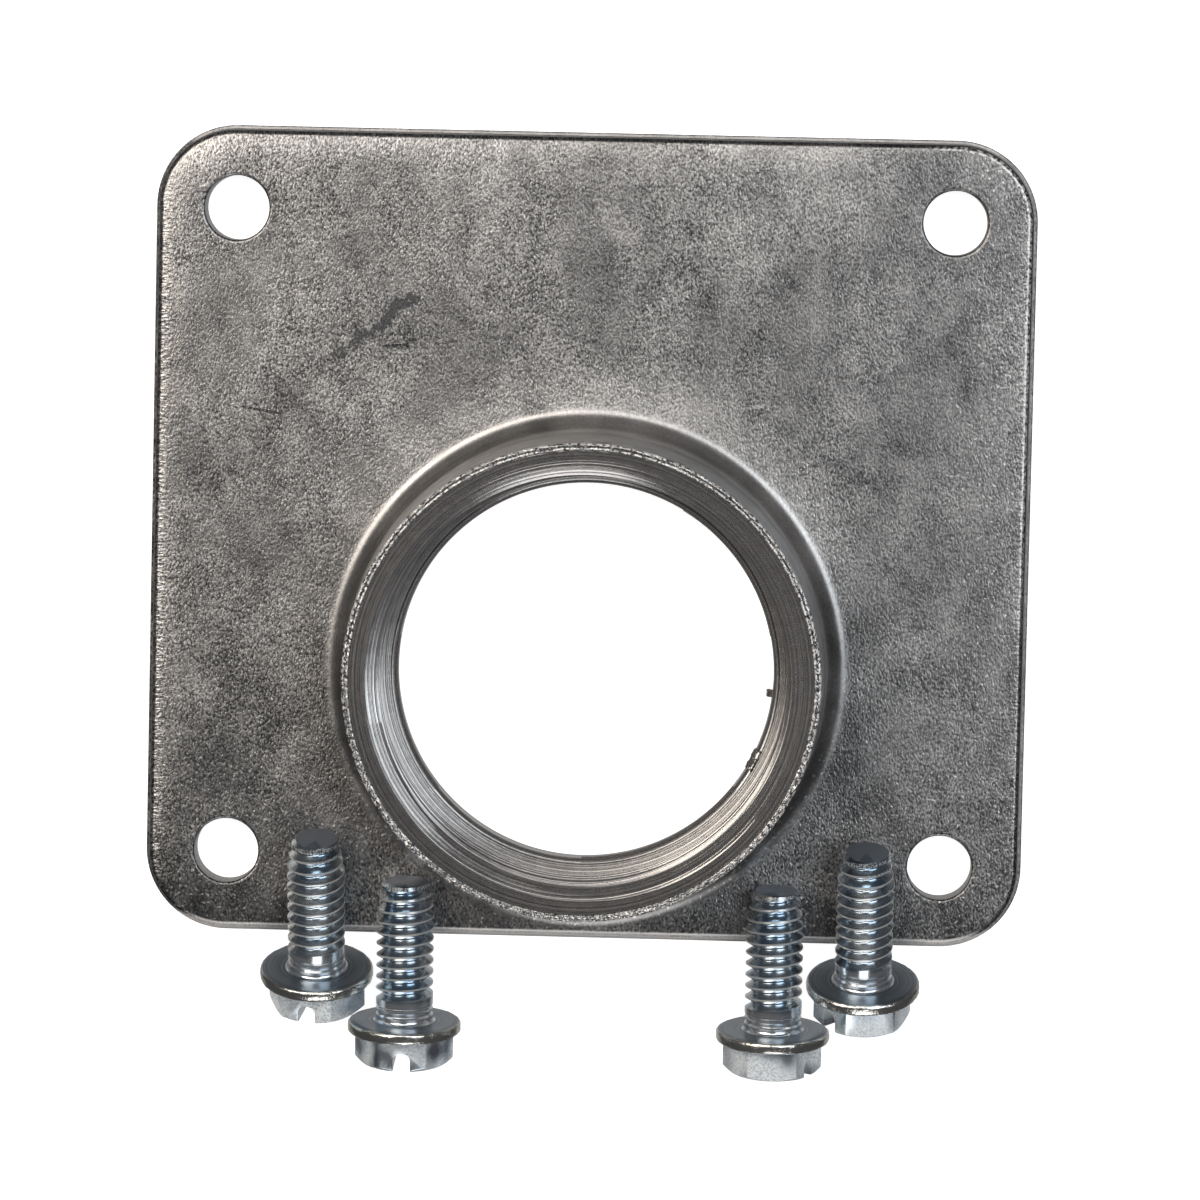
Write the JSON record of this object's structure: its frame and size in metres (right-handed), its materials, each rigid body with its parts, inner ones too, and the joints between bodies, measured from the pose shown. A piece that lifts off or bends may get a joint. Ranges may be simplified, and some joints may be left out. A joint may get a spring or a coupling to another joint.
{
  "type": "conduit hub",
  "caption": "Die-cast conduit hub: a rounded plate with corner mounting holes, an offset round hub threaded inside for conduit, and its loose slotted hex washer head screws.",
  "frame": {"origin": "centre of the bolt pattern on the plate's back face", "axes": "+Z out of the hub's mouth, +Y along the plate towards its edge farthest from the hub, +X across the plate"},
  "size_m": [0.0976, 0.1041, 0.0225],
  "materials": {
    "cast_metal": "as-cast grey zinc alloy with fine grain and handling marks",
    "zinc_plate": "bright zinc plate with a clear bluish tint"
  },
  "bodies": {
    "root": {"hub_casting": "cast_metal", "mounting_screws": "zinc_plate"}
  },
  "joints": []
}
